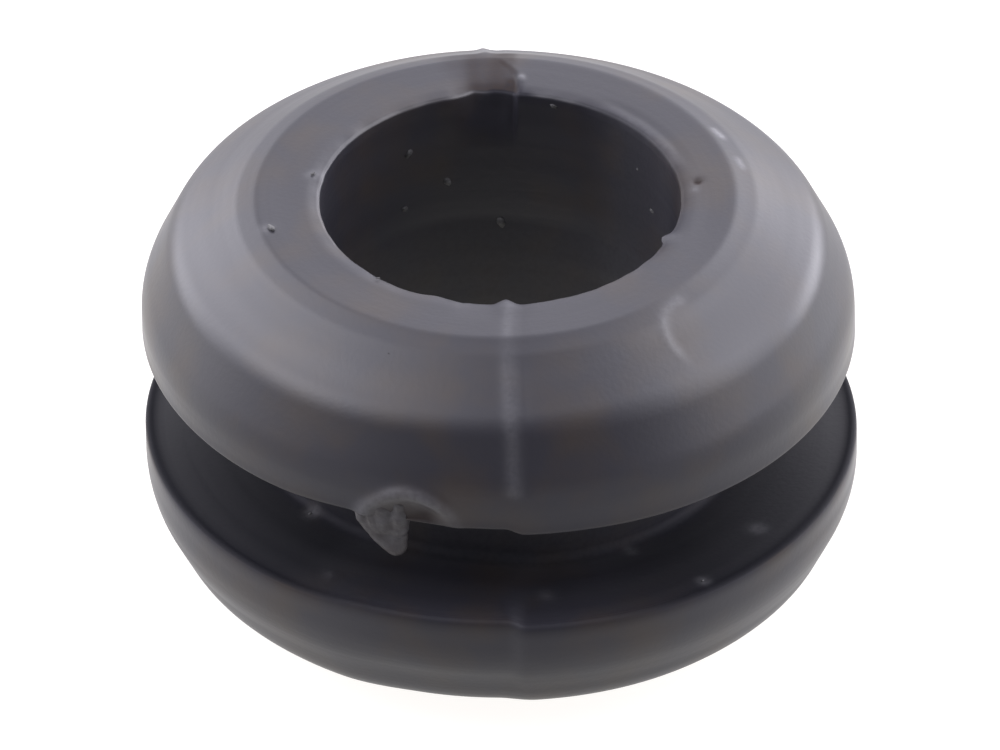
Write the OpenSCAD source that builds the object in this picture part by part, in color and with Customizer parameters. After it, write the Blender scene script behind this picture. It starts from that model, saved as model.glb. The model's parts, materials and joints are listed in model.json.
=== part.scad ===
// Panel grommet, moulded in one piece from black rubber.
// Two equal flanges stand either side of a groove that grips the edge of a
// round hole in sheet metal, and a plain bore carries the cable.
// Origin: on the bore's axis, in the lower flange's flat face. +Z is up,
// and -Y is the front, where the gate scar and one seam line are.
// All sizes are in millimetres.

/* [Bore] */
// Diameter of the cable bore
bore_d = 4.8; // [3.6:0.1:5.6]
// Radius that rounds both ends of the bore
bore_edge_r = 0.05; // [0.03:0.01:0.3]

/* [Groove] */
// Diameter of the groove floor, which fills the panel's hole
groove_d = 6.5; // [6:0.1:7.5]
// Width of the groove, for the panel's thickness
groove_w = 1.5; // [0.8:0.1:2.4]
// Radius in the two corners of the groove floor
groove_root_r = 0.1; // [0.05:0.05:0.3]

/* [Flanges] */
// Outside diameter of both flanges
flange_d = 9.5; // [8.6:0.1:12]
// Height over both flanges
overall_h = 5.8; // [5:0.1:8]
// Height of the upright band at the groove's lip
rim_h = 0.63; // [0.3:0.01:0.8]
// Radial inset of the crease from the widest point
crease_in = 0.42; // [0.2:0.01:0.5]
// Drop of the crease below the flat end face
bevel_h = 0.65; // [0.4:0.01:0.8]
// Radius that softens the crease
crease_r = 0.68; // [0.2:0.01:0.8]
// Radius between the side taper and the upright band
rim_corner_r = 1.1; // [0.3:0.05:1.3]
// Radius on the groove's lip
lip_r = 0.03; // [0.02:0.01:0.12]

/* [End face] */
// Radial width of the flat ring around the bore
land_w = 0.8; // [0.5:0.05:0.9]
// Drop of the small step around the flat ring
step_h = 0.03; // [0.02:0.01:0.08]
// Radial width of that step
step_w = 0.08; // [0.03:0.01:0.1]
// Radial width of the shallow ledge outside the step
ledge_w = 0.18; // [0.1:0.01:0.25]
// Drop of the ledge across its width
ledge_drop = 0.07; // [0.02:0.01:0.1]

/* [Seam line] */
// Width of the raised line where the mould halves met
seam_w = 0.18; // [0.06:0.01:0.2]
// Height of the line above the skin
seam_h = 0.015; // [0.01:0.005:0.04]
// Turn of the mould's parting plane from the front
seam_turn = 3.3; // [-10:0.1:10]

/* [Gate scar] */
// Turn of the torn gate from the front
gate_turn = -15.4; // [-30:0.1:-10]
// Height of the scar's middle above the lip
gate_up = 0.15; // [0.1:0.01:0.22]
// Radius of the raised ring, to the middle of its thickness
gate_ring_r = 0.5; // [0.4:0.01:0.55]
// Thickness radius of the raised ring
gate_ring_t = 0.1; // [0.08:0.01:0.15]
// Part of a full turn that the raised ring covers
gate_ring_sweep = 210; // [160:5:240]
// Depth of the hollow inside the ring
gate_pit_depth = 0.12; // [0.05:0.01:0.2]
// Width of the hollow inside the ring
gate_pit_w = 0.62; // [0.4:0.01:0.7]
// Radius of the rubber drop that hangs below the lip
drop_r = 0.24; // [0.2:0.01:0.28]
// Turn of the drop from the front
drop_turn = -18; // [-30:0.1:-12]
// Inset of the drop's middle from the widest point
drop_in = 0.38; // [0.3:0.01:0.5]
// Distance of the drop's middle below the lip
drop_down = 0.22; // [0.18:0.01:0.3]
// Radius of the neck that joins the drop to the flange
neck_r = 0.19; // [0.1:0.01:0.19]

/* [Torn nick] */
// Diameter of the curved tear in the top face
nick_d = 1; // [0.7:0.01:1.1]
// Tilt of the torn floor down towards the right
nick_tilt = 8; // [4:1:16]
// Tilt of the torn floor down towards the bore
nick_dip = 6; // [2:1:12]
// Turn of the nick's middle from the back
nick_turn = 5; // [-10:0.5:10]
// Radial distance of the nick's middle beyond the bore's wall
nick_out = 0.32; // [0.25:0.01:0.45]
// Depth of the torn floor at the nick's middle
nick_depth = 0.04; // [0.03:0.01:0.1]

/* [Hidden] */
// Facets of a full circle
$fn = 96;
// Steps along each rounded corner of the section
corner_steps = 6;
// Largest share of a straight side that one corner may take
corner_share = 0.45;
half_h = overall_h / 2;
bore_r = bore_d / 2;
rim_r = flange_d / 2;
groove_r = groove_d / 2;
lip_h = groove_w / 2;
land_r = bore_r + land_w;
// Depth to which the seam's bar is buried in the flange
seam_root = 0.2;
// Distance that a ring end or a cut runs past the skin
past = 0.02;
// Length of the cutting cylinder above the torn floor
nick_cut_h = 1;

function unit(v) = v / norm(v);

// Points on an arc that rounds corner b between its neighbours a and c.
// The radius is limited where a straight side is too short for it.
function rounded(a, b, c, r) =
    let (
        u = unit(a - b),
        w = unit(c - b),
        half = acos(u * w) / 2,
        reach = min(r / tan(half), corner_share * norm(a - b), corner_share * norm(c - b)),
        rr = reach * tan(half),
        m = b + unit(u + w) * rr / sin(half),
        from = b + u * reach - m,
        to = b + w * reach - m,
        start = atan2(from.y, from.x),
        sweep = (atan2(to.y, to.x) - start + 540) % 360 - 180
    )
    [for (i = [0:corner_steps]) m + rr * [
        cos(start + sweep * i / corner_steps),
        sin(start + sweep * i / corner_steps)
    ]];

// Corners of the upper half of the section, as [radius, height over mid-plane]
bore_end = [bore_r, half_h];
land_edge = [land_r, half_h];
step_foot = [land_r + step_w, half_h - step_h];
ledge_end = step_foot + [ledge_w, -ledge_drop];
crease = [rim_r - crease_in, half_h - bevel_h];
widest = [rim_r, lip_h + rim_h];
lip = [rim_r, lip_h];
root = [groove_r, lip_h];

// The rounded stretches of that half, from the bore to the groove floor
bore_round = rounded([bore_r, 0], bore_end, land_edge, bore_edge_r);
crease_round = rounded(ledge_end, crease, widest, crease_r);
widest_round = rounded(crease, widest, lip, rim_corner_r);
lip_round = rounded(widest, lip, root, lip_r);
root_round = rounded(lip, root, [groove_r, 0], groove_root_r);

end_path = [land_edge, step_foot, ledge_end];
upper_half = concat(bore_round, end_path, crease_round, widest_round, lip_round, root_round);
lower_half = [for (i = [len(upper_half) - 1:-1:0]) [upper_half[i].x, -upper_half[i].y]];

// A stretch of the skin moved outwards along its own normals
function raised(path, h) = [for (i = [0:len(path) - 1])
    let (
        before = path[max(i - 1, 0)],
        after = path[min(i + 1, len(path) - 1)],
        along = unit(after - before)
    )
    path[i] + h * [-along.y, along.x]];

function last(list) = list[len(list) - 1];

// Flanges, groove and bore, as one turned section
module turned_body() {
    rotate_extrude()
        polygon(concat(upper_half, lower_half));
}

// The upper seam runs from the bore's rounding to the upright band
seam_start = [for (i = [corner_steps / 2:corner_steps]) bore_round[i]];
upper_seam = concat(seam_start, end_path, crease_round, [widest_round[0]]);
upper_seam_foot = [
    last(upper_seam) - [seam_root, 0],
    upper_seam[0] + [seam_root, -seam_root]
];

// The lower seam shows on the upright band alone
lower_seam = [for (i = [corner_steps:-1:0]) [widest_round[i].x, -widest_round[i].y]];
lower_lip = [lip_round[0].x, -lip_round[0].y];
lower_seam_foot = [
    last(lower_seam) - [seam_root, 0],
    lower_lip - [seam_root, 0]
];

// One raised line along a stretch of the skin, in the half plane at the front
module seam_bar(path, foot) {
    rotate([90, 0, -90])
        linear_extrude(height = seam_w, center = true)
            polygon(concat(raised(path, seam_h), foot));
}

// The mould closed on one plane, so its two lines lie opposite each other
module seams() {
    for (side = [0, 180])
        rotate([0, 0, seam_turn + side]) {
            seam_bar(upper_seam, upper_seam_foot);
            seam_bar(concat([lower_lip], lower_seam), lower_seam_foot);
        }
}

// Places its children on the upper flange's band: their z points outwards
module on_gate() {
    rotate([0, 0, gate_turn])
        translate([0, -rim_r, lip_h + gate_up])
            rotate([90, 0, 0])
                children();
}

// The raised lip of rubber round the torn gate, open below
module gate_ring() {
    ring_start = 90 - gate_ring_sweep / 2;
    on_gate()
        translate([0, 0, -past]) {
            rotate([0, 0, ring_start])
                rotate_extrude(angle = gate_ring_sweep)
                    translate([gate_ring_r, 0])
                        circle(r = gate_ring_t);
            for (turn = [ring_start, ring_start + gate_ring_sweep])
                rotate([0, 0, turn])
                    translate([gate_ring_r, 0, 0])
                        sphere(r = gate_ring_t + past);
        }
}

// The hollow that the torn gate left, as a ball's cap
module gate_pit() {
    ball_r = (pow(gate_pit_w / 2, 2) + pow(gate_pit_depth, 2)) / (2 * gate_pit_depth);
    on_gate()
        translate([0, 0, ball_r - gate_pit_depth])
            sphere(r = ball_r);
}

// A drop of rubber that hangs on a short neck in the groove's mouth
module gate_drop() {
    rotate([0, 0, drop_turn])
        translate([0, drop_in - rim_r, lip_h - drop_down]) {
            sphere(r = drop_r);
            cylinder(r = neck_r, h = drop_down + lip_r + past);
        }
}

// The cutter for the nick: its flat end is the torn floor, and its side
// leaves the curved step
module nick_cutter() {
    rotate([0, 0, nick_turn])
        translate([0, bore_r + nick_out, half_h - nick_depth])
            rotate([nick_dip, nick_tilt, 0])
                cylinder(d = nick_d, h = nick_cut_h);
}

module grommet() {
    color([0.17, 0.17, 0.18])
        translate([0, 0, half_h]) {
            difference() {
                union() {
                    turned_body();
                    seams();
                }
                gate_pit();
                nick_cutter();
            }
            gate_ring();
            gate_drop();
        }
}

grommet();
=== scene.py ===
# %% [markdown]
# # A moulded rubber grommet
# The part is a black rubber grommet, under ten millimetres across. Two flanges stand either
# side of a groove that snaps into a hole in sheet metal, and a cable runs through the bore.
# It came out of its mould in one piece, so this lesson is about one skin: a turned section,
# the traces that moulding left on it, one tear in the top face, and some dust.
# The measured solid is loaded first. It gives the sizes and is never moved.

# %% Load the measured solid
import json
import math

import bpy
import numpy as np
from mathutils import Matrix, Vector


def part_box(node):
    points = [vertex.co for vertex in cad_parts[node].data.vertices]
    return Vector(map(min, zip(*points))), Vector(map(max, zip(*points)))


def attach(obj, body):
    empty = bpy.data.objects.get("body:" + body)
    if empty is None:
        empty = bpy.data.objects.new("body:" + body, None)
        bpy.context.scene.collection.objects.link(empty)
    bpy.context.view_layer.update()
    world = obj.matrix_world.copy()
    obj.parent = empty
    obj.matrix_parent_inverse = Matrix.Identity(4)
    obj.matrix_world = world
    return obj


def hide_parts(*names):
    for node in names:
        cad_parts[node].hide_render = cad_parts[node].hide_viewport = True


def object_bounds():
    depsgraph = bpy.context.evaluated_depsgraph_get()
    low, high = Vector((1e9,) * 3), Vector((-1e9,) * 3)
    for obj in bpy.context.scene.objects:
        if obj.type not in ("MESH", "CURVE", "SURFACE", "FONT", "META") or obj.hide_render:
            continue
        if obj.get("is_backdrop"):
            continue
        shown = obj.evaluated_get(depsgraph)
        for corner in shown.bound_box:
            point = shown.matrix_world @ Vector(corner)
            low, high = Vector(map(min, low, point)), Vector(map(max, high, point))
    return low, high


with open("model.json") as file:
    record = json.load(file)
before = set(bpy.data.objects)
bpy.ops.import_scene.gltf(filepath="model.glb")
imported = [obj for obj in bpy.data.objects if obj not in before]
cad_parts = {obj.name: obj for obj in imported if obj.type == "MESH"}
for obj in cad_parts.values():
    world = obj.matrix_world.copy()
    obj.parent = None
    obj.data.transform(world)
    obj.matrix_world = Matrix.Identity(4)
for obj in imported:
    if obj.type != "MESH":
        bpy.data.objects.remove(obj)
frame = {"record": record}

cad_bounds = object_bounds()
MM = 0.001
mounts = {mount["name"]: mount for mount in frame["record"]["mounts"]}
bore_r = mounts["cable_bore"]["dims"]["r_mm"]
half_h = mounts["top_face"]["pos_m"][2] / MM / 2
rim_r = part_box("grommet")[1].x / MM
print(f"bore radius {bore_r:.2f}, rim radius {rim_r:.2f}, half height {half_h:.2f} mm")

# %% [markdown]
# ## The camera
# A long lens from forty centimetres away keeps the two flanges almost equal in size, as a small
# part looks in a catalogue picture. The camera looks down at 36 degrees, so that the bore,
# the bevel and the groove all show. It is made first, because the rest is judged through it.

# %% Long lens, looking down at the front
CAMERA_RISE = 35.8
CAMERA_ROLL = 0.13
CAMERA_DISTANCE = 400.0
VIEW_WIDTH = 13.35
AIM_DROP = 0.02
SENSOR_WIDTH = 36.0

rise = math.radians(CAMERA_RISE)
aim = Vector((0, 0, (half_h - AIM_DROP) * MM))
backwards = Vector((0, -math.cos(rise), math.sin(rise)))
lens = bpy.data.cameras.new("long_lens")
lens.sensor_width = SENSOR_WIDTH
lens.lens = SENSOR_WIDTH * CAMERA_DISTANCE / VIEW_WIDTH
camera = bpy.data.objects.new("camera", lens)
bpy.context.scene.collection.objects.link(camera)
camera.location = aim + backwards * CAMERA_DISTANCE * MM
camera.rotation_euler = (math.pi / 2 - rise, 0, 0)
camera.rotation_euler.rotate_axis("Z", math.radians(CAMERA_ROLL))
lens.clip_start = CAMERA_DISTANCE * MM / 10
bpy.context.scene.camera = camera
print(f"lens {lens.lens:.0f} mm, {CAMERA_DISTANCE:.0f} mm from the part")

# %% [markdown]
# ## The section
# A grommet is a body of revolution, so its shape is one closed line that turns around the
# bore. The upper half is given by its corners: the bore, a flat ring, a small step with a
# shallow ledge, a bevel, a rounded rim and the groove. Rounding each corner with a true arc
# keeps the line as short to describe as it would be on a drawing.

# %% Corners of the upper half, as radius and height over the mid-plane
LAND_WIDTH = 0.8
STEP = (0.08, -0.03)
LEDGE = (0.18, -0.07)
CREASE_INSET = 0.42
BEVEL_DROP = 0.65
RIM_BAND = 0.63
GROOVE_HALF_WIDTH = 0.75
GROOVE_R = 3.25
BORE_EDGE_RADIUS = 0.05
STEP_SOFTNESS = 0.12
CREASE_RADIUS = 0.68
RIM_RADIUS = 1.1
UPPER_LIP_RADIUS = 0.06
LOWER_LIP_RADIUS = 0.07
ROOT_RADIUS = 0.12

land_r = bore_r + LAND_WIDTH
bore_end = (bore_r, half_h)
land_edge = (land_r, half_h)
step_foot = (land_edge[0] + STEP[0], land_edge[1] + STEP[1])
ledge_end = (step_foot[0] + LEDGE[0], step_foot[1] + LEDGE[1])
crease = (rim_r - CREASE_INSET, half_h - BEVEL_DROP)
widest = (rim_r, GROOVE_HALF_WIDTH + RIM_BAND)
lip = (rim_r, GROOVE_HALF_WIDTH)
root = (GROOVE_R, GROOVE_HALF_WIDTH)


# %% Round the corners and mirror the half
def rounded(before, corner, after, radius, steps=16):
    """Points on the arc that rounds one corner, limited where a side is short."""
    before, corner, after = (np.array(point, float) for point in (before, corner, after))
    to_before = (before - corner) / np.linalg.norm(before - corner)
    to_after = (after - corner) / np.linalg.norm(after - corner)
    half = math.acos(to_before @ to_after) / 2
    room = 0.45 * min(np.linalg.norm(before - corner), np.linalg.norm(after - corner))
    reach = min(radius / math.tan(half), room)
    radius = reach * math.tan(half)
    towards = (to_before + to_after) / np.linalg.norm(to_before + to_after)
    centre = corner + towards * radius / math.sin(half)
    start = corner + to_before * reach - centre
    end = corner + to_after * reach - centre
    angle = math.atan2(start[1], start[0])
    sweep = (math.atan2(end[1], end[0]) - angle + 3 * math.pi) % (2 * math.pi) - math.pi
    turns = angle + sweep * np.linspace(0, 1, steps + 1)
    return centre + radius * np.column_stack([np.cos(turns), np.sin(turns)])


def half_section(lip_radius):
    """The upper half, from the bore's middle to the middle of the groove floor."""
    return np.vstack([
        [(bore_r, 0)],
        rounded((bore_r, 0), bore_end, land_edge, BORE_EDGE_RADIUS),
        rounded(bore_end, land_edge, step_foot, STEP_SOFTNESS),
        rounded(land_edge, step_foot, ledge_end, STEP_SOFTNESS),
        rounded(step_foot, ledge_end, crease, STEP_SOFTNESS),
        rounded(ledge_end, crease, widest, CREASE_RADIUS),
        rounded(crease, widest, lip, RIM_RADIUS),
        rounded(widest, lip, root, lip_radius),
        rounded(lip, root, (GROOVE_R, 0), ROOT_RADIUS),
        [(GROOVE_R, 0)],
    ])


lower_half = half_section(LOWER_LIP_RADIUS)[-2::-1] * (1, -1)
section = np.vstack([half_section(UPPER_LIP_RADIUS), lower_half])
print(f"{len(section)} points on the section")

# %% [markdown]
# ## A grid that is fine where it matters
# The skin could be a Screw modifier on that line, but then every mark would need the same
# density all over. Here the grid is worked out instead: the gap between rings depends on
# where they lie on the section, and the gap between lines depends on the direction. That
# puts small quads at the bevel, the seam and the tear, and large ones inside the bore.


# %% Spread rings and lines by a gap that changes along the way
def spread(places, gaps):
    """Places with a changing gap: each step is as long as the gap where it is taken."""
    steps = np.diff(places) / ((gaps[1:] + gaps[:-1]) / 2)
    count = np.concatenate([[0], np.cumsum(steps)])
    whole = round(count[-1])
    return np.interp(np.arange(whole) * count[-1] / whole, count, places)


def blurred(values, reach):
    """A closed row of values, averaged over a window."""
    window = np.ones(2 * reach + 1) / (2 * reach + 1)
    padded = np.concatenate([values[-reach - 1:-1], values, values[1:reach + 1]])
    return np.convolve(padded, window, mode="valid")


TRACE_STEP = 0.005
sides = np.linalg.norm(np.diff(section, axis=0), axis=1)
corner_travel = np.concatenate([[0], np.cumsum(sides)])
travel = np.arange(0, corner_travel[-1], TRACE_STEP)
trace_r = np.interp(travel, corner_travel, section[:, 0])
trace_z = np.interp(travel, corner_travel, section[:, 1])

inside_bore = trace_r < bore_r + 0.005
in_groove = (abs(trace_z) < GROOVE_HALF_WIDTH + 0.01) & (trace_r < rim_r - 0.08)
at_bore_edge = (trace_r < bore_r + 0.08) & (trace_z > half_h - 0.08)
at_upper_lip = (abs(trace_z - GROOVE_HALF_WIDTH) < 0.06) & (trace_r > rim_r - 0.07)
at_lower_lip = (abs(trace_z + 0.8) < 0.1) & (trace_r > rim_r - 0.17)
at_root = (abs(trace_z + 0.7) < 0.09) & (trace_r < GROOVE_R + 0.14)
seen_bore = inside_bore & (trace_z > -1)
under_groove = in_groove & (trace_z < -0.7)
underside = trace_z < -half_h + 0.3
ring_gap = np.select(
    [at_bore_edge, at_upper_lip, at_lower_lip, at_root, seen_bore, inside_bore, under_groove,
     in_groove, trace_z > 0, underside],
    [0.014, 0.014, 0.022, 0.02, 0.15, 0.3, 0.1, 0.2, 0.041, 0.12],
    default=0.07,
)
ring_travel = spread(travel, blurred(ring_gap, reach=6))

FINE_AZIMUTHS = [(-8, 21, 0.55), (42, 11, 0.5), (68, 5, 0.5), (182, 13, 0.42)]
turn = np.arange(0, 360.05, 0.1)
line_gap = np.full(len(turn), 1.1)
for centre, reach, fine in FINE_AZIMUTHS:
    line_gap[abs((turn - centre + 180) % 360 - 180) < reach] = fine
line_turn = spread(turn, blurred(line_gap, reach=25))
print(f"{len(ring_travel)} rings x {len(line_turn)} lines")


# %% Where each ring lies, and which way its skin faces
def at_travel(places):
    """Radius and height of the section at distances along it, both in mm."""
    return np.interp(places, travel, trace_r), np.interp(places, travel, trace_z)


SLOPE_REACH = 0.015
ring_r, ring_z = at_travel(ring_travel)
after_r, after_z = at_travel((ring_travel + SLOPE_REACH) % travel[-1])
before_r, before_z = at_travel((ring_travel - SLOPE_REACH) % travel[-1])
along = np.column_stack([after_r - before_r, after_z - before_z])
along /= np.linalg.norm(along, axis=1)[:, None]
r, z = ring_r[:, None], ring_z[:, None]
out_r, out_z = -along[:, 1][:, None], along[:, 0][:, None]
az = line_turn[None, :]
x = r * np.sin(np.radians(az))
y = -r * np.cos(np.radians(az))
relief = np.zeros(x.shape)
torn = np.zeros(x.shape)
chalk_and_painted_light = np.zeros(x.shape)

# %% [markdown]
# ## Traces of the mould
# Rubber is soft when it leaves the mould, so no surface is quite true. The mould closed on
# one upright plane, and a thin raised line stands where its halves met, at the front and at
# the back. All of this is a relief on the skin: a height in millimetres that is added along
# the skin's own normal. Sums of smooth bumps are enough, and they stay editable by name.


# %% Helpers for marks
def near(distance, width):
    """One at a distance of zero, falling smoothly to nothing a few widths away."""
    return np.exp(-(distance / width) ** 2)


def ramp(value, start, end):
    """Zero before start, one after end, and a smooth rise between them."""
    share = np.clip((value - start) / (end - start), 0, 1)
    return share * share * (3 - 2 * share)


def away(centre):
    """Degrees from a direction, where 0 is the front and 90 the right side."""
    return (az - centre + 180) % 360 - 180


def waves(seed, most_turns, most_per_mm, count=40):
    """Smooth unevenness that closes on itself around the ring, about one unit high."""
    draw = np.random.RandomState(seed)
    total = np.zeros(x.shape)
    for _ in range(count):
        turns = draw.randint(1, most_turns + 1)
        per_mm = draw.uniform(0, most_per_mm)
        phase = draw.uniform(0, 2 * math.pi)
        total += np.sin(turns * np.radians(az) + 2 * math.pi * per_mm * ring_travel[:, None] + phase)
    return total / math.sqrt(count / 2)


upper = z > 0
outer_skin = ramp(r, bore_r + 0.1, bore_r + 0.5) * (abs(z) > GROOVE_HALF_WIDTH)

# %% Slow unevenness, and a ragged edge at the bore
RIPPLE_HEIGHT = 0.004
EDGE_HEIGHT = 0.004
relief += RIPPLE_HEIGHT * outer_skin * waves(seed=3, most_turns=9, most_per_mm=0.6)
EDGE_ROLL = 0.022
relief -= EDGE_ROLL * ramp(r, bore_r + 0.2, bore_r) * ramp(abs(z), half_h - 0.06, half_h - 0.01)
bore_edge = near(np.hypot(r - bore_r, abs(z) - half_h), 0.12)
relief += EDGE_HEIGHT * bore_edge * waves(seed=5, most_turns=45, most_per_mm=1.5)
print(f"relief spans {relief.min():.3f} to {relief.max():.3f} mm")

# %% The raised seam, front and back
SEAM_TURN = 2.6
SEAM_HEIGHT = 0.006
SEAM_WIDTH = 0.1
seam = math.radians(SEAM_TURN)
beside_seam = x * math.cos(seam) + y * math.sin(seam)
front = np.cos(np.radians(az) - seam) > 0
on_bevel = ramp(r, land_r + 0.1, land_r + 0.5)
seam_band = (0.6 + 1.0 * on_bevel) * ramp(r, bore_r + 0.02, bore_r + 0.1) * ramp(z, 1.32, 1.5) * upper
seam_band = seam_band + 0.8 * near(r - bore_r - 0.1, 0.15) * upper * front
seam_band = seam_band + 1.0 * near(z - 1.5, 0.12) * (r > 4.4) * front
lower_band = ramp(-z, 0.72, 0.8) * ramp(-z, 1.6, 1.2) * (r > 4.2)
seam_band = seam_band + 0.6 * lower_band
seam_band = seam_band * (1 - upper * (1 - front) * ramp(r, 3.35, 3.2))
relief += SEAM_HEIGHT * seam_band * near(beside_seam, SEAM_WIDTH)
relief -= 0.6 * SEAM_HEIGHT * seam_band * near(beside_seam - 0.19, 0.07)
relief += 0.03 * near(beside_seam, 0.06) * upper * (1 - front) * near(r - 3.9, 0.4)
# Painted highlight: a pale line along the seam's low ridge, and beside it on the land's edge at the front, stands in
# for the light the ridge catches.
chalk_and_painted_light += 0.15 * np.clip(seam_band, 0, 1.6) * near(beside_seam, SEAM_WIDTH)
chalk_and_painted_light += 0.12 * front * upper * ramp(r, land_r + 0.1, land_r - 0.1) * near(beside_seam, 0.07) * (r > 2.5)

# %% A nub where the seam meets the bore, and a soft roll beside it
at_bore = ramp(r, bore_r + 0.4, bore_r) * ramp(z, half_h - 0.4, half_h - 0.04)
nub_in = (0.13 * near(away(1.7), 2.6) + 0.03 * ramp(abs(away(-5.5)), 7, 4)) * at_bore
nub_in = nub_in + 0.055 * near(away(-20), 5) * at_bore
roll = ramp(abs(away(-5.5)), 10, 3) * ramp(r, bore_r + 0.45, bore_r) * ramp(z, half_h - 0.1, half_h - 0.02)
relief -= 0.02 * roll

# %% The two halves don't meet exactly
SLIDE_LIFT = 0.06
FRONT_LIFT = 0.055
RIGHT_LIFT = 0.02
BOTTOM_INSET = 0.042
blend = np.interp(r, [GROOVE_R, rim_r - 0.2], [0.6, 0.14])
left = ramp(beside_seam / blend, 1, -1)
slide_lift = left * (SLIDE_LIFT + FRONT_LIFT * ramp(abs(away(0)), 38, 22))
slide_lift = slide_lift + (1 - left) * RIGHT_LIFT * ramp(abs(away(0)), 28, 12)
slide_lift = slide_lift * ramp(abs(z), 1.5, 0.85)
relief -= BOTTOM_INSET * left * ramp(abs(away(0)), 30, 15) * ramp(-z, 1.2, 1.8)
print(f"the groove steps by up to {slide_lift.max():.2f} mm at the seam")

# %% [markdown]
# ## Flash, a tear and small knocks
# A sliver of rubber curls along the bore's edge at the back right, and a nib stands on the
# edge at the right. The tear at the back is different: rubber is missing there. Its floor is
# a tilted plane inside a circle, so the skin is pushed down to that plane, and it ends in a
# short curved step on its right side. Boolean cutting would do it too, but it would break up
# the grid, and a height that follows a plane keeps every quad.

# %% A curl of flash along the bore's edge
curl = ramp(az, 100, 116) * ramp(az, 154, 136) * upper
relief += 0.014 * curl * near(r - bore_r - 0.05, 0.07)
relief -= 0.015 * curl * near(r - bore_r - 0.2, 0.07)
chalk_and_painted_light += 0.2 * curl * near(r - bore_r - 0.06, 0.08)

nib_in = 0.09 * near(away(67.5), 2.6) * ramp(z, half_h - 0.25, half_h - 0.03) * ramp(r, bore_r + 0.3, bore_r)
nub_in = nub_in + nib_in
chalk_and_painted_light += 3 * nib_in
pinhole = near(np.hypot(r * np.radians(away(97.5)), (r - 2.66) * 0.75), 0.06) * upper
relief -= 0.04 * pinhole
torn += 1.4 * pinhole
bright_spot = near(np.hypot(r * np.radians(away(93.5)), r - 2.6), 0.06) * upper
chalk_and_painted_light += 0.35 * bright_spot

# %% The torn nick at the back
NICK_CENTRE = (-0.38, 2.68)
NICK_RADIUS = 0.63
NICK_SLOPE = 0.03
NICK_CURVE = 0.08
TORN_REACH = 0.34
NOTCH_OUT = 0.125
STEP_WIDTH = 0.045
below_top = ramp(z, half_h - 0.6, half_h - 0.06)
notch = ramp(az, 174.2, 176.4) * ramp(az, 197, 186) * ramp(z, half_h - 0.8, half_h - 0.04)
notch = notch * (1 + 0.12 * waves(seed=8, most_turns=60, most_per_mm=1))
notch_out = NOTCH_OUT * notch * ramp(r, bore_r + 0.5, bore_r)
from_bore = r + notch_out - bore_r
nick_x = x * (r + notch_out) / r - NICK_CENTRE[0]
nick_y = y * (r + notch_out) / r - NICK_CENTRE[1]
from_nick = np.hypot(nick_x, nick_y)
left_fade = ramp(x, -0.78, -0.1)
on_top = ramp(z, half_h - 0.16, half_h - 0.08) * ramp(r, bore_r + 0.01, bore_r + 0.06)
inside_nick = ramp(from_nick, NICK_RADIUS + STEP_WIDTH, NICK_RADIUS - STEP_WIDTH) * left_fade * below_top
inside_nick = inside_nick * (abs(away(180)) < 30)
nick_width = np.clip(LAND_WIDTH + 0.05 - from_bore, 0, None)
nick_depth = NICK_SLOPE * nick_width + NICK_CURVE * nick_width ** 2
nick_fall = nick_depth * inside_nick
torn_edge = inside_nick * ramp(from_bore, TORN_REACH + 0.1, TORN_REACH - 0.3)
torn_side = near(away(176.6), 1.6) * ramp(r, bore_r + 0.42, bore_r + 0.25) * below_top * (r > bore_r - 0.01)
riser = near(from_nick - NICK_RADIUS, 0.04) * below_top * ramp(x, 0, 0.1) * (y > 2.85)
torn += (0.04 * inside_nick + 0.42 * torn_edge + 0.45 * torn_side + 0.25 * riser + 0.6 * notch) * on_top
dull = 0.8 * near(from_nick - NICK_RADIUS - 0.01, 0.06) * (x > 0.05) * on_top
speck = near(np.hypot(x - 0.3, (y - 2.755) * 0.75), 0.045) * upper
relief += 0.012 * speck
chalk_and_painted_light += 0.75 * speck + 0.06 * near(from_nick - NICK_RADIUS - 0.06, 0.05) * below_top * (x > 0) * (y > 2.8)
print(f"the nick is {nick_fall.max():.2f} mm deep at most")

# %% Dull corners: lips, groove and bore edge, with painted shade in the groove and painted light on hub and bore
lip_gap = np.hypot(r - rim_r + 0.05, abs(z) - GROOVE_HALF_WIDTH - 0.03)
root_gap = np.hypot(r - GROOVE_R - 0.04, abs(z) - GROOVE_HALF_WIDTH + 0.04)
on_hub = (abs(z) < GROOVE_HALF_WIDTH + 0.01) * ramp(r, GROOVE_R + 0.5, GROOVE_R + 0.1)
dull = dull + np.where(upper, 0.3, 0.75) * near(lip_gap, 0.12) + 0.9 * near(root_gap, 0.12)
dull = dull + 0.5 * on_hub + 0.85 * bore_edge * ramp(abs(away(105)), 60, 40)
# Painted shade: the groove's faces, from the hub out to the lips, are darkened to near black, but not at the front.
# The same mask dulls their gloss.
painted_groove_shade = (abs(z) < GROOVE_HALF_WIDTH + 0.03) * ramp(r, GROOVE_R + 0.05, GROOVE_R + 0.3)
painted_groove_shade = painted_groove_shade * ramp(r, rim_r + 0.01, rim_r - 0.03) * ramp(abs(away(0)), 8, 42)
dull = dull + 0.4 * painted_groove_shade
dull = dull + 0.85 * bore_edge * ramp(abs(away(177)), 9, 5) * upper
dull = dull + 0.5 * bore_edge * near(away(1.7), 5) * upper
dull = dull + 0.28 * near(beside_seam, 0.25) * front * upper * ramp(r, 2.95, 2.6)
dull = dull + (0.08 * inside_nick + 0.65 * torn_edge) * on_top
# Painted light: the hub is made paler, more at the sides than at the front.
chalk_and_painted_light += 0.05 * on_hub + 0.06 * on_hub * ramp(abs(away(0)), 45, 25)
# Painted light: the bore's wall is made paler towards its bottom.
chalk_and_painted_light += 0.03 * (r < bore_r + 0.01) * ramp(z, 1, -0.5)

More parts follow.
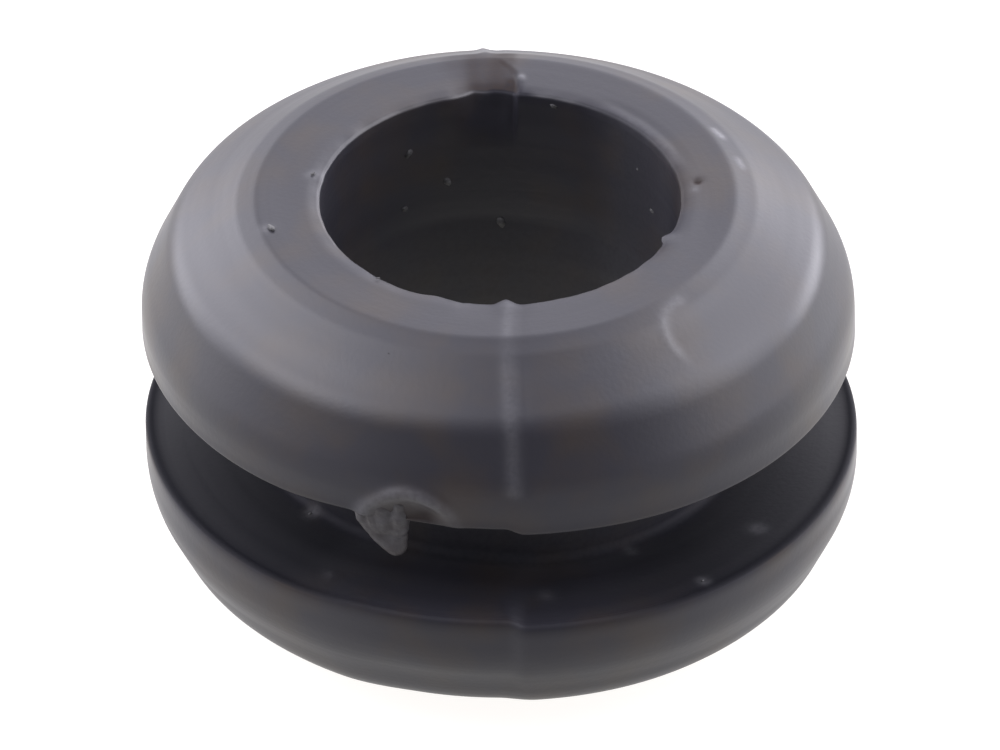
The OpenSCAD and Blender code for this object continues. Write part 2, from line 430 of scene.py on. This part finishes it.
# %% [markdown]
# ## Scuffs and painted highlights on the bevel
# A pale hook-shaped line crosses the right of the bevel, and two short pale streaks lie on
# the ledge. The hook is burnished rubber: slightly raised and lighter. The streaks are
# slightly raised too, and their paleness is painted highlight along the ledge's edge. Each
# is a line through a few points on the skin, softened by cutting its corners.


# %% Lines drawn on the skin
def on_top_skin(azimuth, radius):
    """A point of the upper skin outside the bore, in mm, with z over the mid-plane."""
    top = (trace_z > 1) & (trace_r > bore_r + 0.2)
    height = np.interp(radius, trace_r[top], trace_z[top])
    turned = math.radians(azimuth)
    return np.array([radius * math.sin(turned), -radius * math.cos(turned), height])


def softened(points, rounds=3, width=3):
    """A line whose corners are cut again and again, until it bends smoothly."""
    points = np.array(points)
    for _ in range(rounds):
        first, last = points[:1], points[-1:]
        quarter = 0.75 * points[:-1] + 0.25 * points[1:]
        three = 0.25 * points[:-1] + 0.75 * points[1:]
        middle = np.stack([quarter, three], axis=1).reshape(-1, width)
        points = np.vstack([first, middle[1:-1], last])
    return points


def from_line(points):
    """Distance of every grid point from a line, in mm, and the share passed along it."""
    nearest = np.full(x.shape, 9.0)
    share = np.zeros(x.shape)
    for index, (start, end) in enumerate(zip(points[:-1], points[1:])):
        span = end - start
        offset = [x - start[0], y - start[1], z - start[2]]
        along_it = sum(part * step for part, step in zip(offset, span)) / (span @ span)
        along_it = np.clip(along_it, 0, 1)
        gap = np.sqrt(sum((part - step * along_it) ** 2 for part, step in zip(offset, span)))
        closer = gap < nearest
        share[closer] = ((index + along_it) / (len(points) - 1))[closer]
        nearest[closer] = gap[closer]
    return nearest, share


SMUDGES = [
    (30, 3.43, -0.75, 0.08, 0.4), (54.2, 4.21, -0.75, 0.11, 0.4), (36.4, 4.54, -0.75, 0.08, 0.5),
    (-32.4, 4.3, -0.75, 0.07, 0.2), (-48.5, 3.36, -0.75, 0.1, 0.6), (8.5, 4.06, -0.75, 0.1, 0.25),
    (-76.8, 3.12, 2.9, 0.09, 0.4), (-101.9, 2.55, 2.9, 0.09, 0.4),
]
for azimuth, radius, height, width, share in SMUDGES:
    turned = math.radians(azimuth)
    side_gap = np.hypot(x - radius * math.sin(turned), y + radius * math.cos(turned))
    chalk_and_painted_light += share * near(side_gap, width) * (abs(z - height) < 0.15)

HOOK = [(50.5, 3.36), (45.5, 3.34), (41.5, 3.37), (38.6, 3.5), (37.5, 3.78), (39, 4.13)]
hook_gap, hook_share = from_line(softened([on_top_skin(*place) for place in HOOK]))
hook_fade = ramp(hook_share, 0, 0.12) * ramp(hook_share, 1.02, 0.9)
relief += 0.008 * hook_fade * near(hook_gap, 0.07)
chalk_and_painted_light += 0.33 * hook_fade * near(hook_gap, 0.09)

# Painted highlight: the streaks are slightly raised scuffs, and their pale colour paints the light caught along the
# ledge's edge.
LEDGE_STREAKS = [([(118.2, 3.3), (115.2, 3.33)], 1.0), ([(105.8, 3.34), (102.8, 3.36)], 0.6)]
for streak, streak_scuff_and_highlight in LEDGE_STREAKS:
    streak_gap, _ = from_line(softened([on_top_skin(*place) for place in streak]))
    relief += 0.006 * near(streak_gap, 0.04)
    chalk_and_painted_light += streak_scuff_and_highlight * near(streak_gap, 0.05)

# %% [markdown]
# ## The hollow under the gate scar
# Rubber entered the mould through a small gate at the front left of the upper flange. When
# the sprue was torn off, it left a shallow hollow with a swollen edge. The hollow belongs to
# the skin. The torn ring around it is a separate piece, made further down.

# %% Hollow and swollen ring on the rim
def on_side_skin(azimuth, height):
    """A point on the side of the upper flange, in mm, with its height over the mid-plane."""
    side = (trace_r > rim_r - 0.6) & (trace_z > GROOVE_HALF_WIDTH)
    radius = np.interp(height, trace_z[side][::-1], trace_r[side][::-1])
    turned = math.radians(azimuth)
    return np.array([radius * math.sin(turned), -radius * math.cos(turned), height])


RING_RIDGE = [(-22.6, 0.66), (-21.8, 0.86), (-19.7, 1.1), (-16.4, 1.31), (-12.8, 1.32),
              (-9.4, 1.15), (-7.5, 0.94), (-6.5, 0.74)]
RING_HEIGHT = 0.06
RING_WIDTH = 0.12
on_flange_side = (r > rim_r - 0.6) * ramp(z, 0.73, 0.8)
ridge_gap, ridge_share = from_line(softened([on_side_skin(*place) for place in RING_RIDGE]))
ridge_fade = 1 - 0.6 * ramp(ridge_share, 0.75, 1)
relief += RING_HEIGHT * on_flange_side * ridge_fade * near(ridge_gap, RING_WIDTH)
chalk_and_painted_light += 0.42 * on_flange_side * ridge_fade * near(ridge_gap, 0.11)
pit_gap, _ = from_line(np.array([on_side_skin(-16.5, 0.72), on_side_skin(-12, 0.86)]))
relief -= 0.055 * on_flange_side * near(pit_gap, 0.2)
torn += 0.8 * on_flange_side * near(pit_gap, 0.2)
core_gap, _ = from_line(softened([on_side_skin(*place) for place in [(-14.5, 1.08), (-17, 0.9), (-17.8, 0.72)]]))
relief -= 0.02 * on_flange_side * near(core_gap, 0.07)

# %% [markdown]
# ## The skin as a mesh
# The outer skin leans a little to the left on its way up, because soft flanges don't cool
# evenly, while the bore stays upright. The grid closes on itself both ways, so the mesh is
# watertight. Four values are stored on its points: torn, a pale mark for dust and burnish
# that also paints light, dull, and the painted groove shade. The material reads them later
# for colour, roughness and gloss.

# %% Lean, then build the mesh
LEAN = 1.2
UPPER_TILT = 0.4
LIP_TILT = 0.3
lean_share = ramp(r, bore_r + 0.05, land_r)
skin_r = r + out_r * relief + notch_out - nub_in
skin_z = z + out_z * relief - nick_fall + slide_lift
skin_z = skin_z + math.tan(math.radians(UPPER_TILT)) * x * ramp(z, 0.9, 1.6)
skin_z = skin_z - math.tan(math.radians(LIP_TILT)) * x * near(z - GROOVE_HALF_WIDTH, 0.4)
skin_z = skin_z - 0.03 * ramp(-x, 2.4, 3.9) * near(z - GROOVE_HALF_WIDTH, 0.4)
skin_x = skin_r * np.sin(np.radians(az)) - math.tan(math.radians(LEAN)) * z * lean_share
skin_y = -skin_r * np.cos(np.radians(az))


def closed_grid(name, grid_x, grid_y, grid_z, marks):
    """A mesh object from a grid that closes both ways, with one value per point and mark."""
    rings, lines = grid_x.shape
    points = np.stack([grid_x, grid_y, grid_z], axis=-1).reshape(-1, 3) * MM
    number = np.arange(rings * lines).reshape(rings, lines)
    onwards, beside = np.roll(number, -1, axis=0), np.roll(number, -1, axis=1)
    across = np.roll(onwards, -1, axis=1)
    quads = np.stack([number, onwards, across, beside], axis=-1).reshape(-1, 4)
    mesh = bpy.data.meshes.new(name)
    mesh.from_pydata(points.tolist(), [], quads.tolist())
    mesh.shade_smooth()
    for mark, values in marks.items():
        layer = mesh.attributes.new(mark, "FLOAT", "POINT")
        layer.data.foreach_set("value", values.reshape(-1).astype(np.float32))
    piece = bpy.data.objects.new(name, mesh)
    bpy.context.scene.collection.objects.link(piece)
    return piece


# The groove mark is painted shade. The pale mark carries painted light and highlights as well as dust and burnish.
marks = {"torn": np.clip(torn, 0, 1), "chalk_and_painted_light": np.clip(chalk_and_painted_light, 0, 1.2), "dull": np.clip(dull, 0, 1), "painted_groove_shade": painted_groove_shade}
skin = closed_grid("grommet_skin", skin_x, skin_y, skin_z + half_h, marks)
print(f"{skin.name}: {len(skin.data.polygons)} quads")

# %% [markdown]
# ## The torn gate
# Around the hollow stands a ragged ring of rubber, and a flap of flash hangs from it into
# the groove. Such a shape has no section, so it is put together like clay: balls of rubber
# along an arc, and more balls for the flap. A voxel remesh fuses them into one closed skin,
# and smoothing takes the steps off.

# %% Balls of rubber along the lip and down to the drop
def on_rim(azimuth, height, inset):
    """A point near the upper rim, in mm: height over the mid-plane, inset from the rim."""
    turned = math.radians(azimuth)
    radius = rim_r - inset
    return np.array([radius * math.sin(turned), -radius * math.cos(turned), height + half_h])


SCAR_STROKES = [
    [(-23.0, 0.9, 0.09, 0.11), (-22.6, 0.77, 0.09, 0.12), (-21.0, 0.62, 0.12, 0.12),
     (-19.2, 0.46, 0.15, 0.15), (-17.4, 0.38, 0.16, 0.16)],
    [(-21.4, 1.0, 0.12, 0.13), (-20.9, 0.84, 0.12, 0.17), (-19.4, 0.55, 0.19, 0.17)],
    [(-19.6, 1.16, 0.09, 0.14), (-19.4, 0.86, 0.11, 0.16), (-18.4, 0.52, 0.19, 0.17)],
    [(-16.4, 1.1, 0.1, 0.12), (-16.5, 0.84, 0.12, 0.14), (-17.2, 0.5, 0.17, 0.15)],
]
draw = np.random.RandomState(11)
balls = []
for stroke in SCAR_STROKES:
    for azimuth, height, inset, thick in softened(stroke, rounds=2, width=4):
        jitter = draw.uniform(-0.01, 0.01, 3)
        balls.append((on_rim(azimuth, height, inset) + jitter, thick))
print(f"{len(balls)} balls in the scar")


# %% Fuse them into one skin
def fused(name, balls, voxel, smooth_rounds):
    """One closed mesh object from many balls, given as (centre, radius) in mm."""
    import bmesh
    build = bmesh.new()
    for centre, radius in balls:
        made = bmesh.ops.create_icosphere(build, subdivisions=2, radius=radius * MM)
        bmesh.ops.translate(build, verts=made["verts"], vec=Vector(centre) * MM)
    mesh = bpy.data.meshes.new(name)
    build.to_mesh(mesh)
    build.free()
    piece = bpy.data.objects.new(name, mesh)
    bpy.context.scene.collection.objects.link(piece)
    remesh = piece.modifiers.new("fuse", "REMESH")
    remesh.mode = "VOXEL"
    remesh.voxel_size = voxel * MM
    smooth = piece.modifiers.new("smooth", "SMOOTH")
    smooth.iterations = smooth_rounds
    settled = bpy.data.meshes.new_from_object(piece.evaluated_get(bpy.context.evaluated_depsgraph_get()))
    piece.modifiers.clear()
    piece.data = settled
    bpy.data.meshes.remove(mesh)
    settled.name = name
    settled.shade_smooth()
    return piece


gate_scar = fused("gate_scar", balls, voxel=0.02, smooth_rounds=14)
print(f"{gate_scar.name}: {len(gate_scar.data.polygons)} faces")

# %% [markdown]
# ## Dust
# A few pale flecks lie in the bore, in the groove and on the flanges. Each is a small bent
# chip with its own size and direction, and it is half sunk in the skin, so that it stays put
# from every side. One mesh holds them all.

# %% Chips of dust, placed by direction and by distance along the section
BORE_FLECKS = [(179.9, 2.12, 0.11), (122.5, 1.15, 0.095), (130.1, 0.65, 0.07), (162.7, 0.15, 0.05),
               (-162.9, 1.39, 0.065), (-147.8, 1.65, 0.06), (-149.3, 0.76, 0.075)]
TOP_FLECKS = [(-76.8, 3.12, 0.07), (-24, 3.6, 0.02), (-101.9, 2.55, 0.05), (-41, 2.47, 0.03)]
GROOVE_FLECKS = [(36.4, 4.54, 0.02), (-48.5, 3.36, 0.03)]


def chip(build, place, normal, size, draw):
    """One irregular chip, flat on the skin."""
    import bmesh
    made = bmesh.ops.create_icosphere(build, subdivisions=1, radius=1)
    normal = Vector(normal).normalized()
    turn_to = normal.to_track_quat("Z", "Y")
    long, short = draw.uniform(1.0, 1.5), draw.uniform(0.6, 0.9)
    spin = draw.uniform(0, math.pi)
    for corner in made["verts"]:
        rough = draw.uniform(0.75, 1.2)
        point = Vector((corner.co.x * long, corner.co.y * short, corner.co.z * 0.14)) * rough * size
        point = Vector((point.x * math.cos(spin) - point.y * math.sin(spin),
                        point.x * math.sin(spin) + point.y * math.cos(spin), point.z))
        corner.co = (Vector(place) + turn_to @ point) * MM


def dust(name):
    """All flecks as one mesh object."""
    import bmesh
    build = bmesh.new()
    draw = np.random.RandomState(21)
    for azimuth, depth, size in BORE_FLECKS:
        side = Vector((math.sin(math.radians(azimuth)), -math.cos(math.radians(azimuth)), 0))
        place = side * bore_r + Vector((0, 0, 2 * half_h - depth))
        chip(build, place, -side, size, draw)
    for azimuth, radius, size in TOP_FLECKS:
        place = on_top_skin(azimuth, radius) + (0, 0, half_h)
        chip(build, place, (0, 0, 1), size, draw)
    for azimuth, radius, size in GROOVE_FLECKS:
        side = Vector((math.sin(math.radians(azimuth)), -math.cos(math.radians(azimuth)), 0))
        lift = SLIDE_LIFT if azimuth < 0 else RIGHT_LIFT / 2
        place = side * radius + Vector((0, 0, half_h - GROOVE_HALF_WIDTH + lift))
        chip(build, place, (0, 0, 1), size, draw)
    mesh = bpy.data.meshes.new(name)
    build.to_mesh(mesh)
    build.free()
    mesh.shade_smooth()
    piece = bpy.data.objects.new(name, mesh)
    bpy.context.scene.collection.objects.link(piece)
    return piece


dust_flecks = dust("dust_flecks")
print(f"{dust_flecks.name}: {len(dust_flecks.data.polygons)} faces")

# %% [markdown]
# ## Black rubber
# Carbon black makes the rubber nearly black, and almost all that shows is the soft gloss of
# its skin. So the material is a dark base with a rough, slightly uneven gloss. Fine grain
# and faint turning lines from the mould go into the bump, slow stains into the colour, and
# the stored marks make torn rubber browner and rougher and burnished rubber paler. The pale
# mark also paints light: a paler hub and lower bore, and highlights along the seam and the
# ledge streaks. The groove mark is painted shade, which darkens the groove's faces.


# %% Small helpers for node materials
def new_material(name):
    """A material, its node tree and its main shader."""
    material = bpy.data.materials.new(name)
    material.use_nodes = True
    tree = material.node_tree
    return material, tree, tree.nodes["Principled BSDF"]


def add(tree, kind, inputs=None, **settings):
    """A node with settings, and inputs that are values or the sockets of other nodes."""
    made = tree.nodes.new(kind)
    for key, value in settings.items():
        setattr(made, key, value)
    for key, value in (inputs or {}).items():
        if isinstance(value, bpy.types.NodeSocket):
            tree.links.new(value, made.inputs[key])
        else:
            made.inputs[key].default_value = value
    return made


def maths(tree, operation, first, second=0.5, third=0.5):
    """The result of one sum or comparison."""
    return add(tree, "ShaderNodeMath", {0: first, 1: second, 2: third}, operation=operation).outputs[0]


def blended(tree, share, first, second):
    """A colour between two others."""
    made = add(tree, "ShaderNodeMix", {"Factor": share, "A": first, "B": second}, data_type="RGBA")
    return made.outputs["Result"]


def between(tree, value, low, high, to_low, to_high):
    """A value moved from one range to another."""
    inputs = {"Value": value, "From Min": low, "From Max": high, "To Min": to_low, "To Max": to_high}
    return add(tree, "ShaderNodeMapRange", inputs).outputs["Result"]


# %% The rubber itself
RUBBER = (0.021, 0.0205, 0.0265, 1)
STAINED = (0.031, 0.025, 0.023, 1)
# Painted shade: the near-black colour of the shaded groove.
PAINTED_GROOVE_SHADE = (0.009, 0.009, 0.012, 1)
TORN = (0.030, 0.023, 0.021, 1)
# Pale colour for dust and burnish, also used for painted light and painted highlights.
CHALK_AND_PAINTED_LIGHT = (0.15, 0.15, 0.16, 1)


def black_rubber():
    """Moulded black rubber with grain, turning lines, stains and the stored marks."""
    material, tree, shader = new_material("moulded_black_rubber")
    place = add(tree, "ShaderNodeTexCoord").outputs["Object"]
    in_mm = add(tree, "ShaderNodeVectorMath", {0: place, "Scale": 1 / MM}, operation="SCALE").outputs[0]
    part = add(tree, "ShaderNodeSeparateXYZ", {0: in_mm}).outputs
    flat = add(tree, "ShaderNodeCombineXYZ", {"X": part["X"], "Y": part["Y"]}).outputs[0]
    radius = add(tree, "ShaderNodeVectorMath", {0: flat}, operation="LENGTH").outputs["Value"]
    facing = add(tree, "ShaderNodeVectorMath", {0: flat}, operation="NORMALIZE").outputs[0]
    facing = add(tree, "ShaderNodeVectorMath", {0: facing, "Scale": 0.5}, operation="SCALE").outputs[0]
    facing = add(tree, "ShaderNodeSeparateXYZ", {0: facing}).outputs
    level = maths(tree, "ADD", maths(tree, "MULTIPLY", radius, 7.0), maths(tree, "MULTIPLY", part["Z"], 5.0))
    turned = add(tree, "ShaderNodeCombineXYZ", {"X": facing["X"], "Y": facing["Y"], "Z": level}).outputs[0]

    stain = add(tree, "ShaderNodeTexNoise", {"Vector": in_mm, "Scale": 0.9, "Detail": 3.0}).outputs["Fac"]
    grain = add(tree, "ShaderNodeTexNoise", {"Vector": in_mm, "Scale": 14.0, "Detail": 3.0}).outputs["Fac"]
    lines = add(tree, "ShaderNodeTexNoise", {"Vector": turned, "Scale": 1.0, "Detail": 2.0}).outputs["Fac"]
    torn_share = add(tree, "ShaderNodeAttribute", attribute_name="torn").outputs["Fac"]
    chalk_and_light_share = add(tree, "ShaderNodeAttribute", attribute_name="chalk_and_painted_light").outputs["Fac"]

    colour = blended(tree, between(tree, stain, 0.45, 0.7, 0.0, 1.0), RUBBER, STAINED)
    dull_share = add(tree, "ShaderNodeAttribute", attribute_name="dull").outputs["Fac"]
    painted_groove_shade_share = add(tree, "ShaderNodeAttribute", attribute_name="painted_groove_shade").outputs["Fac"]
    # Painted shade: the groove's faces are darkened here.
    colour = blended(tree, painted_groove_shade_share, colour, PAINTED_GROOVE_SHADE)
    colour = blended(tree, maths(tree, "MULTIPLY", torn_share, between(tree, grain, 0.3, 0.7, 0.5, 1.0)), colour, TORN)
    # Dust and burnish make the rubber paler. The same mix paints light on the hub and lower bore, and highlights along
    # the seam and the ledge streaks.
    colour = blended(tree, maths(tree, "MULTIPLY", chalk_and_light_share, between(tree, grain, 0.3, 0.6, 0.6, 1.0)), colour, CHALK_AND_PAINTED_LIGHT)
    tree.links.new(colour, shader.inputs["Base Color"])
    matt = maths(tree, "MAXIMUM", torn_share, dull_share)
    rough = between(tree, lines, 0.3, 0.7, 0.35, 0.43)
    rough = maths(tree, "MULTIPLY_ADD", matt, 0.2, rough)
    tree.links.new(rough, shader.inputs["Roughness"])
    gloss = between(tree, matt, 0.0, 1.0, 0.5, 0.06)
    tree.links.new(gloss, shader.inputs["Specular IOR Level"])

    height = maths(tree, "ADD", maths(tree, "MULTIPLY", grain, 0.5), maths(tree, "MULTIPLY", lines, 0.6))
    bump = add(tree, "ShaderNodeBump", {"Height": height, "Strength": 0.6, "Distance": 0.006 * MM})
    tree.links.new(bump.outputs["Normal"], shader.inputs["Normal"])
    shader.inputs["IOR"].default_value = 1.5
    return material


skin_material = black_rubber()
skin.data.materials.append(skin_material)


# %% Torn rubber and dust
def torn_rubber():
    """The torn gate: the same rubber, rougher, in patches of darker and paler tone."""
    material, tree, shader = new_material("torn_black_rubber")
    place = add(tree, "ShaderNodeTexCoord").outputs["Object"]
    in_mm = add(tree, "ShaderNodeVectorMath", {0: place, "Scale": 1 / MM}, operation="SCALE").outputs[0]
    patches = add(tree, "ShaderNodeTexNoise", {"Vector": in_mm, "Scale": 5.0, "Detail": 4.0}).outputs["Fac"]
    grain = add(tree, "ShaderNodeTexNoise", {"Vector": in_mm, "Scale": 22.0, "Detail": 3.0}).outputs["Fac"]
    colour = blended(tree, between(tree, patches, 0.35, 0.65, 0.0, 1.0), (0.03, 0.026, 0.027, 1), (0.051, 0.049, 0.053, 1))
    tree.links.new(colour, shader.inputs["Base Color"])
    tree.links.new(between(tree, grain, 0.3, 0.7, 0.38, 0.55), shader.inputs["Roughness"])
    bump = add(tree, "ShaderNodeBump", {"Height": grain, "Strength": 0.7, "Distance": 0.012 * MM})
    tree.links.new(bump.outputs["Normal"], shader.inputs["Normal"])
    return material


def pale_dust():
    """Dry grey dust with a mottled tint."""
    material, tree, shader = new_material("pale_dust")
    place = add(tree, "ShaderNodeTexCoord").outputs["Object"]
    in_mm = add(tree, "ShaderNodeVectorMath", {0: place, "Scale": 1 / MM}, operation="SCALE").outputs[0]
    tint = add(tree, "ShaderNodeTexNoise", {"Vector": in_mm, "Scale": 6.0}).outputs["Fac"]
    colour = blended(tree, between(tree, tint, 0.35, 0.65, 0.0, 1.0), (0.05, 0.049, 0.051, 1), (0.1, 0.1, 0.1, 1))
    tree.links.new(colour, shader.inputs["Base Color"])
    fuzz = add(tree, "ShaderNodeTexNoise", {"Vector": in_mm, "Scale": 40.0}).outputs["Fac"]
    bump = add(tree, "ShaderNodeBump", {"Height": fuzz, "Strength": 0.5, "Distance": 0.01 * MM})
    tree.links.new(bump.outputs["Normal"], shader.inputs["Normal"])
    shader.inputs["Roughness"].default_value = 0.8
    return material


gate_scar.data.materials.append(torn_rubber())
dust_flecks.data.materials.append(pale_dust())
print("materials:", ", ".join(sorted(material.name for material in bpy.data.materials)))

# %% [markdown]
# ## Tie the pieces to the measured solid
# Each piece rides on the part's one body. The skin stands for the measured solid, which is
# then hidden but still does the colliding.

# %% Ride and replace
for piece in (skin, gate_scar, dust_flecks):
    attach(piece, "root")
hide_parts("grommet")

# %% [markdown]
# ## A pale table and soft light
# Black rubber shows what surrounds it, so the light does most of the modelling. A white
# table glows by itself, as a light table does, and leaves no hard shadow. Around it stand
# the soft glows of a light tent: broad ones behind the part at both sides, and next to
# nothing at the front, so that the flanks are bright and the front stays dark. Lamps with
# hard edges would show as patches in the gloss. Glows in the world have no edges at all.

# %% The table
TABLE_SIZE = 3.0
TABLE_DROP = 0.01
# The glow is painted light and shade on the table: weakest in front of the part, where its shade falls, and brightest
# under and just behind it. The camera sees an even glow instead.
TABLE_GLOW = [
    (-8, 0.27), (-4.6, 0.65), (-1.5, 0.86), (0.8, 1.15), (4, 1.35), (8, 0.95), (14, 0.55),
    (30, 0.75),
]
TABLE_WHITE = 0.97
TABLE_COLOUR = (0.2, 0.2, 0.2, 1)


def table_top():
    """A large pale sheet under the part, lit from within."""
    half = TABLE_SIZE / 2
    low = -TABLE_DROP * MM
    corners = [(-half, -half, low), (half, -half, low), (half, half, low), (-half, half, low)]
    mesh = bpy.data.meshes.new("table")
    mesh.from_pydata(corners, [], [(0, 1, 2, 3)])
    table = bpy.data.objects.new("table", mesh)
    bpy.context.scene.collection.objects.link(table)
    material, tree, shader = new_material("lit_paper")
    shader.inputs["Base Color"].default_value = TABLE_COLOUR
    shader.inputs["Roughness"].default_value = 0.9
    shader.inputs["Specular IOR Level"].default_value = 0.1
    shader.inputs["Emission Color"].default_value = (1, 0.975, 0.95, 1)
    seen = add(tree, "ShaderNodeLightPath").outputs["Is Camera Ray"]
    place = add(tree, "ShaderNodeTexCoord").outputs["Object"]
    depth = add(tree, "ShaderNodeSeparateXYZ", {0: place}).outputs["Y"]
    first, last = TABLE_GLOW[0][0] * MM, TABLE_GLOW[-1][0] * MM
    profile = add(tree, "ShaderNodeValToRGB", {"Fac": between(tree, depth, first, last, 0, 1)})
    stops = profile.color_ramp.elements
    for _ in TABLE_GLOW[2:]:
        stops.new(0.5)
    for stop, (place_mm, level) in zip(stops, TABLE_GLOW):
        stop.position = (place_mm * MM - first) / (last - first)
        stop.color = (level, level, level, 1)
    glow = profile.outputs["Color"]
    tree.links.new(between(tree, seen, 0, 1, glow, TABLE_WHITE), shader.inputs["Emission Strength"])
    mesh.materials.append(material)
    return table


table_top()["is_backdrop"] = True

# %% Glows of the tent: direction, height, half-width in degrees, and brightness
GLOWS = [
    (-131, 0, 23, 5.2),
    (131, -5, 16, 15.0),
    (-123, 39, 23, 4.2),
    (104, 48, 16, 6.0),
    (154, 34, 16, 4.5),
    (-79, 43, 16, 5.4),
    (84, 24, 17, 4.4),
    (168, -5, 16, 1.2),
    (-44, 71, 16, 1.7),
    (-82, 2, 14, 0.8),
    (84, 0, 14, 0.7),
    (-46, 2, 16, 0.45),
    (40, 2, 16, 0.15),
    (0, 5, 16, 0.12),
]
TENT_TINT = (0.975, 0.96, 1.04, 1)
TENT_FILL = 0.04
BACKDROP = 1.0


def direction(azimuth, elevation):
    """The unit vector towards a place around the part, where azimuth 0 is the front."""
    turned, raised = math.radians(azimuth), math.radians(elevation)
    return Vector((math.sin(turned) * math.cos(raised), -math.cos(turned) * math.cos(raised),
                   math.sin(raised)))


def light_tent():
    """The world: soft glows for the part, and an even pale backdrop for the picture."""
    world = bpy.data.worlds.new("light_tent")
    world.use_nodes = True
    tree = world.node_tree
    looking = add(tree, "ShaderNodeTexCoord").outputs["Generated"]
    total = TENT_FILL
    for azimuth, elevation, half_width, brightness in GLOWS:
        towards = direction(azimuth, elevation)
        facing = add(tree, "ShaderNodeVectorMath", {0: looking, 1: towards}, operation="DOT_PRODUCT")
        sharpness = math.log(2) / (1 - math.cos(math.radians(half_width)))
        power = maths(tree, "MULTIPLY_ADD", facing.outputs["Value"], sharpness, -sharpness)
        glow = maths(tree, "EXPONENT", power)
        total = maths(tree, "MULTIPLY_ADD", glow, brightness, total)
    tent = tree.nodes["Background"]
    tent.inputs["Color"].default_value = TENT_TINT
    tree.links.new(total, tent.inputs["Strength"])
    backdrop = add(tree, "ShaderNodeBackground", {"Color": (1, 1, 1, 1), "Strength": BACKDROP})
    seen = add(tree, "ShaderNodeLightPath").outputs["Is Camera Ray"]
    mix = add(tree, "ShaderNodeMixShader", {0: seen, 1: tent.outputs[0], 2: backdrop.outputs[0]})
    tree.links.new(mix.outputs[0], tree.nodes["World Output"].inputs["Surface"])
    return world


bpy.context.scene.world = light_tent()
bpy.context.scene.view_settings.view_transform = "Standard"
print(f"{len(GLOWS)} glows around the part")

# %% [markdown]
# ## Measure and finish
# The visual part must fill the same space as the measured solid, so both boxes are written
# down and can be compared.


visual_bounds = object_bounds()
for label, (low, high) in (("CAD", cad_bounds), ("visual", visual_bounds)):
    print(label, "box in mm:", [round(side / MM, 3) for side in high - low])
